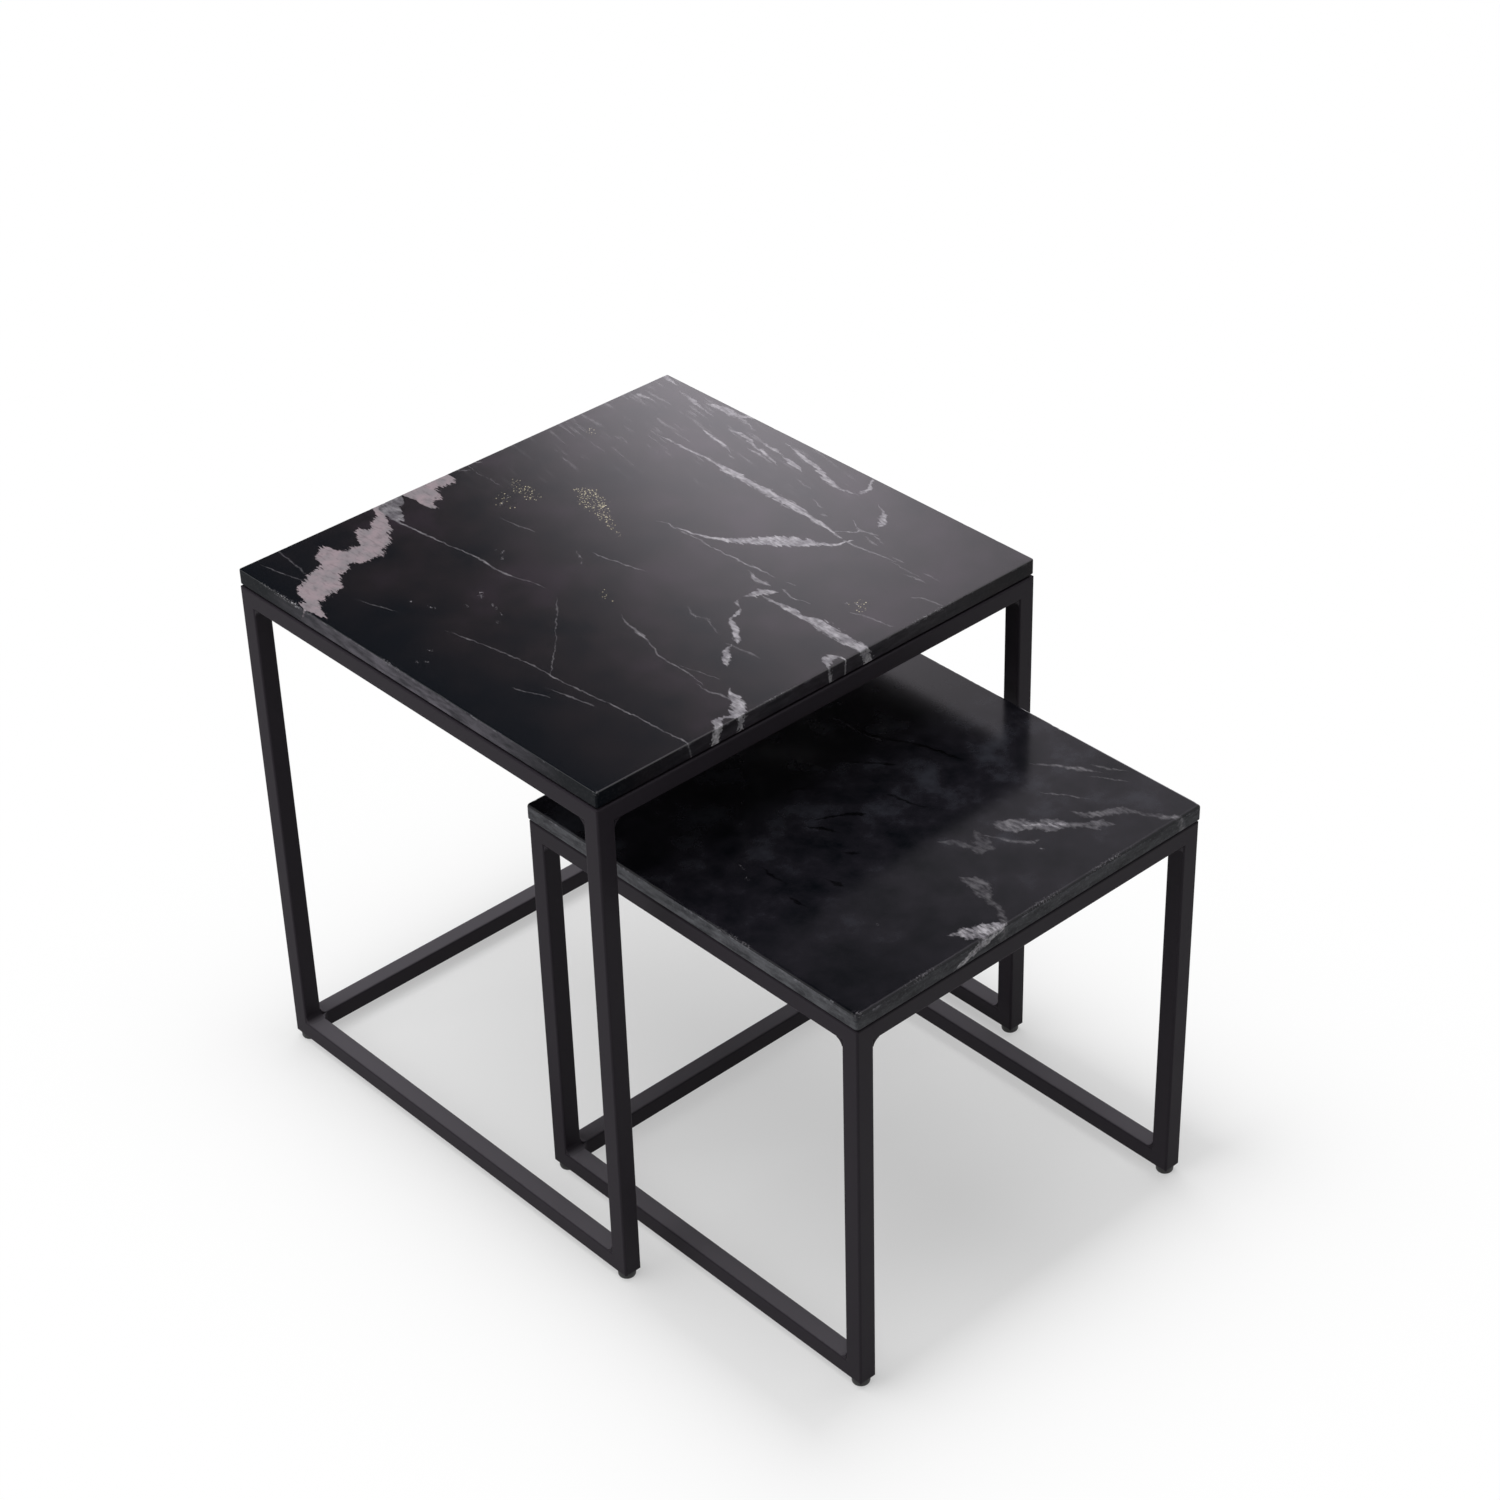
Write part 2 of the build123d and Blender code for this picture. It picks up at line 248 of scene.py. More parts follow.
# Veins, each as (how white, lean in degrees, points of x, y and half width). Millimetres from the middle
# of the slab's top, x to the right and y to the back.
LARGE_VEINS = [
    (0.85, 10, [(167, 170, 0), (166, 150, 0.8), (167, 112, 1.8), (168, 85, 1.6), (166, 62, 4.4),
                (166, 40, 4.2), (165, 5, 4.8), (164, -25, 4.6), (162, -50, 3.2), (160, -72, 2.4),
                (157, -95, 1.6)]),
    (0.95, -15, [(62, 40, 0.3), (66, 18, 1.4), (76, -15, 2.4), (86, -31, 4), (97, -43, 6),
                 (108, -54, 8), (119, -67, 9), (128, -79, 7), (136, -90, 3.4), (146, -102, 2.2),
                 (160, -105, 1.5)]),
    (0.6, 10, [(155, -102, 2), (156, -118, 1.4), (159, -138, 1.2), (162, -157, 1)]),
    (0.33, 10, [(159, -155, 0.5), (158, -180, 1.2), (159, -200, 0)]),
    (0.65, 0, [(64, 22, 0.5), (66, 0, 1.1), (66, -35, 1), (68, -65, 1.7), (70, -95, 1.2), (71, -110, 0)]),
    (0.33, 0, [(71, -112, 0.4), (73, -122, 1), (76, -135, 0)]),
    (0.85, 18, [(42, -118, 1), (43, -140, 2.6), (44, -152, 4.2), (43, -166, 3.4), (46, -182, 6.2),
                (45, -200, 7), (44, -222, 5.6), (45, -245, 5.5)]),
    (0.75, 0, [(28, -104, 0), (36, -109, 3.6), (44, -112, 5.4), (52, -118, 3.4), (58, -124, 0)]),
    (0.6, 0, [(62, -78, 0.6), (56, -95, 3.2), (58, -106, 2), (59, -114, 0)]),
    (0.59, 0, [(61, -118, 0), (61, -127, 1.5), (58, -137, 1.3), (62, -155, 0.6)]),
    (1, -10, [(-55, -179, 0), (-49, -172, 3.6), (-42, -164, 3.8), (-36, -158, 2.8), (-29, -156, 0.8)]),
    (0.95, -10, [(-23, -157, 1), (-17, -149, 3.6), (-9, -138, 3.4), (-2, -126, 2), (8, -124, 2.4),
                 (15, -118, 0.6)]),
    (0.65, -10, [(14, -119, 0.3), (20, -109, 2), (24, -106, 0.4)]),
    (0.9, 14, [(-124, -245, 4), (-112, -230, 4), (-105, -234, 7), (-96, -236, 8), (-88, -229, 6.6),
               (-80, -216, 5.2), (-75, -204, 0.8)]),
    (0.6, 14, [(-89, -180, 0.4), (-90, -193, 1.2), (-87, -203, 1.4), (-84, -218, 1.8)]),
    (0.75, -12, [(1, -243, 2), (9, -230, 6), (18, -229, 5), (26, -243, 2)]),
    (0.9, 0, [(190, -108, 0), (197, -106, 3.4), (206, -98, 4), (212, -93, 2.4), (219, -79, 0.4)]),
    (0.75, 0, [(220, -54, 0), (226, -53, 3.4), (234, -53, 3), (241, -46, 2), (252, -42, 1)]),
    (0.65, 0, [(161, -84, 0.8), (167, -93, 2), (176, -98, 1.4), (180, -90, 1.4), (188, -80, 0)]),
    (0.59, 0, [(177, -95, 1), (179, -106, 1.6), (182, -115, 0.8)]),
    (0.39, 0, [(174, -106, 0.4), (170, -122, 1.5), (169, -134, 0)]),
    (0.39, 0, [(181, -110, 0.4), (177, -124, 1.2), (175, -134, 0)]),
    (0.52, 0, [(185, -30, 0.6), (181, -42, 1.1), (179, -56, 0)]),
    (0.75, 10, [(202, 138, 0.4), (198, 118, 2.5), (195, 98, 2.2), (189, 78, 0)]),
    (0.7, 10, [(213, 68, 2.5), (208, 48, 1.7), (202, 30, 0)]),
    (0.55, 10, [(207, 80, 0.6), (206, 60, 1.7), (204, 45, 0.8)]),
    (0.7, 10, [(219, 120, 0.8), (220, 100, 2.8), (215, 80, 2), (211, 66, 0.8)]),
    (0.7, 10, [(224, 80, 0.6), (222, 60, 2.1), (220, 46, 0.6)]),
    (0.85, 10, [(219, 46, 0.6), (216, 30, 3.1), (213, 14, 1.4)]),
    (0.8, 10, [(238, 62, 0.4), (232, 34, 2.5), (226, 6, 3.1), (219, -10, 3.6), (215, -28, 2.4),
               (217, -46, 1.2), (219, -60, 0)]),
    (0.6, 10, [(236, 208, 0.4), (232, 182, 2.7), (225, 150, 0.8), (223, 138, 0)]),
    (0.7, 10, [(236, 175, 0), (241, 150, 5.3), (242, 132, 3.6), (250, 116, 2.2)]),
    (0.6, 10, [(204, 228, 2.8), (206, 212, 1.7), (205, 200, 0)]),
    (0.6, 10, [(246, 240, 3.4), (243, 222, 2), (240, 205, 0)]),
    (0.65, 6, [(-103, 212, 2), (-100, 182, 1.3), (-96, 145, 1), (-91, 110, 1.2), (-91, 72, 1.5),
               (-88, 55, 0.8), (-83, 38, 1), (-80, 14, 0)]),
    (0.59, 6, [(-186, 44, 0), (-181, 15, 0.9), (-174, -20, 1), (-168, -55, 1), (-166, -90, 1),
               (-162, -130, 1.2), (-157, -170, 1), (-155, -200, 1.1), (-151, -245, 1)]),
    (0.45, 20, [(-84, 5, 0.4), (-99, -13, 0.9), (-114, -29, 0.9), (-130, -48, 0.8), (-145, -63, 0.9),
                (-167, -85, 0.6)]),
    (0.59, 6, [(-62, -52, 0.3), (-69, -70, 1.4), (-72, -90, 1.8), (-77, -110, 1), (-83, -128, 0.9),
               (-83, -148, 1), (-86, -184, 0.4)]),
    (0.45, 6, [(-81, -146, 0.4), (-77, -163, 0.9), (-71, -186, 0.7)]),
    (0.59, 6, [(-15, 50, 0), (-12, 28, 1.1), (-6, 0, 1.1), (1, -32, 0)]),
    (0.45, 6, [(-34, 145, 0.4), (-30, 120, 1), (-23, 88, 0)]),
    (0.45, 6, [(-184, -85, 0), (-177, -112, 1), (-172, -138, 1.1), (-168, -158, 0)]),
    (0.45, 6, [(-204, -68, 0), (-196, -89, 1), (-188, -108, 0.8)]),
    (0.39, 6, [(-211, 135, 0), (-204, 112, 1), (-198, 94, 0.9), (-193, 72, 0)]),
    (0.39, 6, [(-232, 230, 0.4), (-228, 205, 1), (-222, 182, 0.6)]),
    (0.33, 6, [(-208, 240, 0.8), (-211, 205, 1.2), (-214, 190, 0.8)]),
    (0.39, 0, [(5, 236, 1), (3, 218, 0.6), (4, 200, 1.1), (2, 176, 0)]),
    (0.45, 0, [(76, 194, 0), (75, 183, 1.2), (74, 168, 0)]),
    (0.45, 6, [(77, -188, 0.5), (82, -205, 1.3), (86, -230, 0.8)]),
    (0.39, 6, [(130, -208, 0.6), (136, -217, 1.4), (140, -238, 0.6)]),
    (0.26, 6, [(-14, -84, 0.6), (-20, -98, 1.6), (-17, -112, 1.2), (-24, -135, 0.6)]),
    (0.26, 6, [(-30, -152, 1), (-27, -175, 1.6), (-24, -200, 0)]),
    (0.35, 10, [(165, -148, 0.4), (166, -158, 1.6), (167, -170, 0)]),
    (0.3, 10, [(152, -176, 0.4), (155, -192, 1.8), (156, -206, 0)]),
    (0.3, 10, [(165, -184, 0), (166, -196, 1.4), (166, -214, 0)]),
    (0.25, 10, [(214, 232, 0.6), (213, 205, 2), (212, 180, 0)]),
    (0.3, 10, [(209, 166, 0.4), (206, 150, 1.6), (202, 134, 0.6)]),
    (0.4, 10, [(241, 132, 1), (238, 115, 2.2), (234, 99, 0.6)]),
    (0.25, 10, [(200, 12, 0.4), (198, -5, 1.8), (195, -24, 0)]),
    (0.3, 10, [(187, 84, 0.4), (185, 78, 1.8), (184, 72, 0)]),
    (0.35, 0, [(172, -52, 0.4), (173, -58, 2), (174, -64, 0)]),
    (0.45, 10, [(-8, 240, 0.6), (-3, 233, 2), (4, 228, 0)]),
    (0.4, 10, [(10, 240, 0.4), (16, 235, 1.6), (22, 231, 0)]),
    (0.6, 66, [(-104, 246, 6), (-101, 246, 43), (-97, 246, 44), (-94, 246, 41), (-90, 246, 34),
               (-85, 246, 24), (-78, 246, 20), (-73, 246, 9), (-70, 246, 4)]),
]
LARGE_ROSE_VEINS = [
    (1.0, 25, [(-290, 246, 0), (-260, 140, 0), (-251, 143, 0), (-247, 142, 11), (-244, 138, 18),
               (-240, 145, 15), (-235, 157, 17), (-225, 163, 17), (-215, 167, 19), (-205, 169, 21),
               (-200, 174, 17), (-195, 179, 14), (-191, 186, 19), (-185, 190, 22), (-175, 196, 21),
               (-170, 188, 16), (-165, 183, 15), (-150, 183, 14), (-145, 188, 19), (-135, 197, 22),
               (-130, 196, 17), (-120, 206, 13), (-112, 212, 12), (-104, 228, 9), (-98, 243, 7),
               (-92, 246, 4)]),
    (1.0, 66, [(-69, 246, 9), (-67, 246, 42), (-63, 246, 49), (-60, 246, 41), (-54, 246, 37),
               (-47, 246, 36), (-45, 246, 27), (-38, 246, 22), (-28, 246, 24), (-20, 246, 23),
               (-17, 246, 9)]),
]
SMALL_VEINS = [
    (0.36, 15, [(54, -94, 0), (60, -104, 7.8), (69, -113, 10.4), (80, -122, 6.5), (90, -132, 9.8),
                (100, -142, 5.2), (108, -150, 3.9), (116, -157, 6.5), (124, -164, 4.7), (131, -170, 0)]),
    (1, 15, [(68, -111, 0), (74, -117, 2.8), (82, -123, 3), (91, -133, 4.4), (100, -141, 2.6),
             (106, -147, 0)]),
    (0.3, 15, [(116, -130, 0.8), (121, -143, 4.7), (131, -150, 5.2), (143, -157, 6.5),
               (151, -165, 3.6), (157, -178, 2.6), (164, -189, 4.2), (176, -204, 3.9)]),
    (0.5, 15, [(160, -183, 0), (165, -190, 2.6), (171, -197, 2.8), (178, -206, 2)]),
    (0.18, 0, [(6, -84, 0.8), (15, -93, 5.2), (20, -106, 3.9), (23, -114, 7.8), (33, -121, 2.6)]),
    (0.16, 0, [(20, -120, 1.3), (30, -111, 7.8), (38, -97, 3.9), (42, -90, 0)]),
    (0.4, 0, [(37, -98, 0.8), (47, -117, 1.8), (56, -133, 3), (63, -138, 3.6), (70, -142, 0)]),
    (0.22, 0, [(-16, -126, 0), (-12, -138, 7.8), (-13, -152, 9.1), (-20, -166, 4.4), (-24, -182, 3.4),
               (-33, -196, 3.9), (-42, -206, 3.9)]),
    (1, -64, [(-76, -178, 2), (-67, -185, 7), (-57, -192, 9), (-47, -198, 10), (-38, -206, 11)]),
    (0.42, 0, [(142, -57, 0.6), (152, -71, 2), (160, -83, 2.4), (167, -94, 4), (172, -103, 2),
               (181, -118, 0)]),
    (0.6, 0, [(178, -96, 0.6), (184, -109, 2), (193, -126, 0.4)]),
    (0.65, 0, [(114, -88, 0), (126, -106, 1.4), (140, -128, 0.6)]),
    (0.65, 0, [(160, -100, 0), (174, -121, 1.6), (186, -143, 0)]),
    (0.6, 0, [(70, 116, 0), (73, 104, 1.4), (73, 70, 0.8), (76, 60, 1.8), (78, 52, 0)]),
]
SMALL_SEAMS = [
    (0.9, 10, [(16, 76, 0.5), (32, 57, 1.6), (45, 40, 1.4), (55, 28, 2.2), (66, 16, 0)]),
    (0.9, 10, [(72, 92, 0.5), (78, 66, 2.2), (86, 49, 1.6), (99, 18, 2.4), (107, -18, 0.5)]),
    (0.9, 0, [(-56, 10, 0.8), (-48, -4, 2.7), (-41, -18, 0.5)]),
    (0.9, 0, [(-46, 13, 0.5), (-34, 6, 2.2), (-22, 0, 1.9), (-12, -9, 3.1), (-5, -14, 0)]),
    (0.8, 0, [(24, 2, 0.5), (28, -18, 1.9), (32, -36, 1.6), (39, -54, 0)]),
    (0.8, 0, [(-121, -6, 0.5), (-123, -22, 2.4), (-122, -38, 0.5)]),
    (0.8, 0, [(-132, -46, 0), (-133, -60, 2.7), (-132, -73, 0.5)]),
    (0.8, 0, [(-94, -54, 0.5), (-93, -66, 3.1), (-91, -78, 0)]),
    (0.8, 0, [(-62, -34, 0.5), (-55, -44, 2.4), (-48, -53, 0)]),
    (0.8, 0, [(-36, 54, 0.5), (-28, 56, 2.7), (-18, 50, 1.9), (-8, 49, 0)]),
]

# Small crystals of calcite, each as (strength, x, y, reach across, reach along, turn in degrees)
LARGE_CRYSTALS = [
    (1, -176, 90, 2, 3, 20), (1, -170, 69, 1.4, 6, 18), (1, -147, 50, 2, 3, -20),
    (1, -129, 53, 3, 5, -30), (1, -125, 57, 2, 3, 0), (1, -131, 32, 1.6, 7, -22),
    (1, -135, 18, 1.4, 5, -15), (1, -145, 10, 2, 3, 20), (1, -76, 89, 1.8, 4, -40),
    (1, -69, 97, 2, 4, -50), (1, -71, 104, 1.4, 2.5, -20), (1, -15, 163, 2, 7, -60),
    (1, -4, 168, 1.8, 6, -55), (1, -25, 46, 1.6, 9, -25), (1, -30, 37, 1.4, 6, -40),
    (1, -232, 10, 1.8, 3.4, 20), (1, -226, 5, 1.6, 3, 20), (1, -214, 17, 1.6, 4, 25),
    (1, -20, -100, 2, 8, -20), (1, -16, -112, 2, 6, -10), (1, 90, -184, 1.6, 4, -20),
    (1, 84, -176, 2, 3, 10), (0.9, -250, 165, 2.4, 45, 0), (0.6, -250, -239, 5, 5, 0),
    (0.5, -250, 20, 2.4, 24, 0), (0.5, -60, -239, 30, 2.4, 0), (0.6, 120, -239, 40, 2.4, 0),
]
SMALL_CRYSTALS = [
    (0.6, -140, -10, 1.6, 4, -20), (0.6, -70, 72, 2, 3, -70), (0.6, -132, 5, 1.4, 5, -10),
    (0.6, -108, -128, 1.4, 2, 0), (0.6, 60, -150, 1.6, 3, 20), (0.8, -201, -200, 9, 9, 0),
    (0.5, -201, -60, 3, 30, 0), (0.6, -130, -200, 26, 4, 0), (0.6, 10, -200, 30, 4, 0),
    (0.6, 90, -200, 34, 4, 0),
]

# Clouds of pyrite grains, each as (how dense, x, y, reach across, reach along, turn in degrees)
LARGE_PYRITE = [
    (2.2, 45, 110, 14, 30, -14), (1.6, 34, 82, 7, 26, -16), (1, 26, 62, 3, 20, -14),
    (0.9, 12, 166, 10, 30, -8), (0.7, -52, -22, 5, 14, -20), (0.7, 126, 205, 5, 11, -30),
    (0.6, 90, -188, 11, 12, 0), (0.35, -12, 165, 13, 22, -10),
]

# What makes up each slab: veins, rose veins, dark seams, crystals and pyrite
STONES = {
    "large": (LARGE_VEINS, LARGE_ROSE_VEINS, [], LARGE_CRYSTALS, LARGE_PYRITE),
    "small": (SMALL_VEINS, [], SMALL_SEAMS, SMALL_CRYSTALS, []),
}

# What differs between the two slabs, with sizes in mm. First come the radius of the corners, the easing of
# the top arris and its deepest chip. The ground's three colours run from dark to light in clouds of a size.
# It gets lighter in the direction "lighter", from the share "least" at the far side to all at "light_from".
# On the small slab this is painted light: the back, which the large slab shades, is made paler.
# "haze" is the share of pale haze towards HAZE_SIDE. The veins' borders are frayed by crystal needles of a
# size, by a share of the vein's width, and soft over a width. Where streaks break a vein, the share "broken"
# of its white is left. "gloss" is how well the polish mirrors. "pale" is the share of faint pale streaks,
# brightened as a painted sheen, on the left edge, on the other edges and, of these, at the corners, and
# "flecks" the share of pale flecks there.
SLABS = {
    "large": {
        "corner": 2.0, "arris": 1.4, "chip": 0.8,
        "ground": ("03070d", "171417", "251e25"), "cloud": 80,
        "lighter": (1, 0, 0), "light_from": -125, "least": 0.1,
        "haze": 0.32, "needle": (2.4, 14, 2.4), "fray": 0.55, "soft": 1.6, "broken": 0.35, "gloss": 0.5,
        "pale": (0.75, 0.28, 0.0), "sheen_colour": "66626a", "flecks": 0.06,
    },
    "small": {
        "corner": 3.4, "arris": 3.0, "chip": 1.4,
        "ground": ("06080c", "17161b", "2a2b31"), "cloud": 45,
        "lighter": (0.45, 0.9, 0), "light_from": 60, "least": 0.6,
        "haze": 0.03, "needle": (5, 7, 5), "fray": 0.5, "soft": 3.0, "broken": 0.1, "gloss": 0.23,
        "pale": (0.9, 0.5, 0.8), "sheen_colour": "5e5f63", "flecks": 0.2,
    },
}
SLAB_HEIGHT = 15.0
LEFT_SHEEN_WIDTH = 20.0      # width over which the painted sheen of the left edge gives way to that of the other edges, in mm
GAP_SHADE_HEIGHT = 1.0      # height of the painted shade along the lower edge, where the gap over the frame is dark, in mm
CORNER_REACH = (0.5, 0.64)  # where the painted sheen of an edge fades into its corners, from the middle, as shares of the width
CRUSHED = (-1.8, -0.6)      # heights at which crushing ends and is full, as shares of the arris


def most(tree, masks):
    """The largest of several masks at each point, and at least 0. A generator makes each mask just before
    its turn, so that few of them wait in the shader at a time."""
    top = 0.0
    for mask in masks:
        top = add(tree, "Math", {0: top, 1: mask}, operation="MAXIMUM")[0]
    return top


def share(tree, mask, other):
    """The product of two masks."""
    return add(tree, "Math", {0: mask, 1: other}, operation="MULTIPLY")[0]


def blend(tree, mask, under, over, way="MIX"):
    """The colour under, covered by the colour over as far as the mask says."""
    return add(tree, "Mix", {0: mask, 6: under, 7: over}, data_type="RGBA", blend_type=way)[2]


def patches(tree, place, size, low, high, turn=0.0):
    """A cloudy pattern of patches of a size in mm along x, y and z, from 0 below low to 1 above high."""
    place = add(tree, "Mapping", {
        "Vector": place, "Rotation": (0, 0, turn), "Scale": size,
    }, vector_type="TEXTURE")[0]
    cloud = add(tree, "TexNoise", {"Vector": place, "Scale": 1.0, "Detail": 5.0, "Roughness": 0.6})[0]
    cloud = add(tree, "MapRange", {"Value": cloud, "From Min": low, "From Max": high}, clamp=False)[0]
    cloud = add(tree, "Math", {0: cloud, 1: 0.0}, operation="MAXIMUM")[0]
    return add(tree, "Math", {0: cloud, 1: 1.0}, operation="MINIMUM")[0]


def needle_fray(tree, place, size, reach):
    """How far crystal needles of a size push a vein's border in or out, as a share of its half width."""
    needles = patches(tree, place, size, 0.3, 0.7)
    return add(tree, "MapRange", {"Value": needles, "To Min": -reach, "To Max": reach}, clamp=False)[0]


def vein_mask(tree, place, needles, soft, vein):
    """Where one vein is, and 0 or less elsewhere: a sheet that leans through the stone and follows its
    points along the chord from the first to the last."""
    whiteness, lean, points = vein
    start = Vector(points[0][:2])
    chord = Vector(points[-1][:2]) - start
    along = chord.normalized()
    across = Vector((-along.y, along.x))
    lines = []
    for way, slope in ((along, 0.0), (across, math.tan(math.radians(lean)))):
        scaled = Vector((*way, slope)) / chord.length
        line = add(tree, "VectorMath", {0: place, 1: scaled}, operation="DOT_PRODUCT")["Value"]
        first = start.dot(way) / chord.length
        lines.append(add(tree, "Math", {0: line, 1: first}, operation="SUBTRACT")[0])
    progress, offset = lines
    middle = add(tree, "FloatCurve", {"Value": progress})[0]
    width = add(tree, "FloatCurve", {"Value": progress})[0]
    taper = VEIN_TIP / chord.length
    steps = [(Vector((x, y)) - start).dot(along) / chord.length for x, y, _ in points]
    steps = [-taper, *steps, 1 + taper]
    offsets = [along.cross(Vector((x, y)) - start) / chord.length for x, y, _ in points]
    widths = [half / chord.length for _, _, half in points]
    for curve, values in ((middle, offsets), (width, widths)):
        mapping = curve.node.mapping
        mapping.use_clip = False
        mapping.extend = "HORIZONTAL"
        knots = mapping.curves[0].points
        while len(knots) < len(steps):
            knots.new(0.5, 0.5)
        for knot, step, value in zip(knots, steps, [0, *values, 0]):
            knot.location = (step, value)
            knot.handle_type = "AUTO_CLAMPED"
        mapping.update()
    offset = add(tree, "Math", {0: offset, 1: middle}, operation="SUBTRACT")[0]
    offset = add(tree, "Math", {0: offset}, operation="ABSOLUTE")[0]
    fray = add(tree, "Math", {0: width, 1: NEEDLE_REACH / chord.length}, operation="MINIMUM")[0]
    width = add(tree, "Math", {0: fray, 1: needles, 2: width}, operation="MULTIPLY_ADD")[0]
    inside = add(tree, "Math", {0: width, 1: offset}, operation="SUBTRACT")[0]
    white = add(tree, "Math", {0: inside, 1: whiteness * chord.length / soft}, operation="MULTIPLY")[0]
    return add(tree, "Math", {0: white, 1: whiteness}, operation="MINIMUM")[0]


def spot_mask(tree, place, spot):
    """How near the middle of a small oval spot of crystals or grains: its strength there, 0 at its rim."""
    strength, x, y, reach_across, reach_along, turn = spot
    oval = add(tree, "Mapping", {
        "Vector": place, "Location": (x, y, 0), "Rotation": (0, 0, math.radians(turn)),
        "Scale": (reach_across, reach_along, SPOT_DEPTH),
    }, vector_type="TEXTURE")[0]
    near = add(tree, "TexGradient", {"Vector": oval}, gradient_type="SPHERICAL")[1]
    return share(tree, near, strength)


def stone_colour(tree, place, table, finish, width):
    """Near-black limestone in brown and blue-green clouds, bluer to the left, with white sheets of calcite
    through it, a broad rose one, small crystals and clouds of pyrite grains. On the small slab the ground is
    also painted paler towards the back, as painted light where the large slab above shades it."""
    veins, rose_veins, seams, crystals, pyrite = STONES[table]
    look = SLABS[table]
    shade = patches(tree, place, (look["cloud"],) * 3, 0.32, 0.68)
    # Painted light: on the small slab this gradient makes the ground paler towards the back, where the large
    # slab above casts shade; on the large slab it only darkens the left.
    lighter = add(tree, "VectorMath", {0: place, 1: look["lighter"]}, operation="DOT_PRODUCT")["Value"]
    lighter = add(tree, "MapRange", {
        "Value": lighter, "From Min": -width / 2, "From Max": look["light_from"], "To Min": look["least"],
    })[0]
    ground = add(tree, "ValToRGB", {0: share(tree, shade, lighter)})
    ramp = ground[0].node.color_ramp
    ramp.elements.new(0.5)
    for stop, position, hex_colour in zip(ramp.elements, (0.05, 0.5, 0.95), look["ground"]):
        stop.position = position
        stop.color = linear(hex_colour)

    wander = add(tree, "TexNoise", {"Vector": place, "Scale": 1 / VEIN_WANDER, "Detail": 4.0})[1]
    wander = add(tree, "VectorMath", {0: wander, 1: (0.5,) * 3}, operation="SUBTRACT")[0]
    bent = add(tree, "VectorMath", {0: wander, 1: (VEIN_BEND,) * 3, 2: place}, operation="MULTIPLY_ADD")[0]
    needles = needle_fray(tree, place, look["needle"], look["fray"])
    streaks = patches(tree, place, STREAK, 0.34, 0.6)
    broken = add(tree, "MapRange", {"Value": streaks, "To Min": look["broken"]})[0]
    mottle = patches(tree, place, MOTTLE, 0.4, 0.6)
    specks = patches(tree, place, SPECK, 0.5, 0.66)

    towards = add(tree, "VectorMath", {0: place, 1: HAZE_SIDE}, operation="DOT_PRODUCT")["Value"]
    haze_start, haze_full = HAZE_REACH
    corner = add(tree, "MapRange", {
        "Value": towards, "From Min": haze_start * width, "From Max": haze_full * width,
        "To Max": look["haze"],
    })[0]
    haze = share(tree, patches(tree, place, WISP, 0.56, 0.74, FOLIATION), corner)
    white = most(tree, (vein_mask(tree, bent, needles, look["soft"], vein) for vein in veins))
    white = share(tree, white, broken)
    crystal = share(tree, most(tree, (spot_mask(tree, bent, spot) for spot in crystals)), specks)
    white = most(tree, [haze, white, crystal])
    # Painted light in part: the honed edges get the paler calcite to make up for the weaker light on them.
    calcite = blend(tree, mottle, *map(linear, CALCITE[finish]))
    colour = ground[0]
    if seams:
        dark = most(tree, (vein_mask(tree, bent, needles, SEAM_EDGE, seam) for seam in seams))
        colour = blend(tree, dark, colour, linear(SEAM_COLOUR))
    colour = blend(tree, white, colour, calcite)
    if rose_veins:
        needles = needle_fray(tree, place, ROSE_NEEDLE, 1.0)
        rose = most(tree, (vein_mask(tree, bent, needles, look["soft"], vein) for vein in rose_veins))
        fibres = add(tree, "MapRange", {
            "Value": broken, "From Min": look["broken"], "From Max": 0.7, "To Min": 0.7,
        })[0]
        rose_calcite = blend(tree, mottle, *map(linear, ROSE_CALCITE))
        colour = blend(tree, share(tree, rose, fibres), colour, rose_calcite)
    if pyrite:
        cloud = most(tree, (spot_mask(tree, bent, spot) for spot in pyrite))
        cells = add(tree, "TexVoronoi", {"Vector": place, "Scale": 1 / GRAIN}, distance="MANHATTAN")
        grains = add(tree, "MapRange", {"Value": cells["Distance"], "From Min": 0.6, "From Max": 0.35})[0]
        chance, shine, _ = add(tree, "SeparateColor", {0: cells["Color"]})
        present = add(tree, "Math", {0: cloud, 1: chance}, operation="GREATER_THAN")[0]
        shine = add(tree, "MapRange", {"Value": shine, "To Min": 0.35})[0]
        glint = share(tree, share(tree, grains, present), shine)
        colour = blend(tree, glint, colour, linear(PYRITE_COLOUR))
    return colour


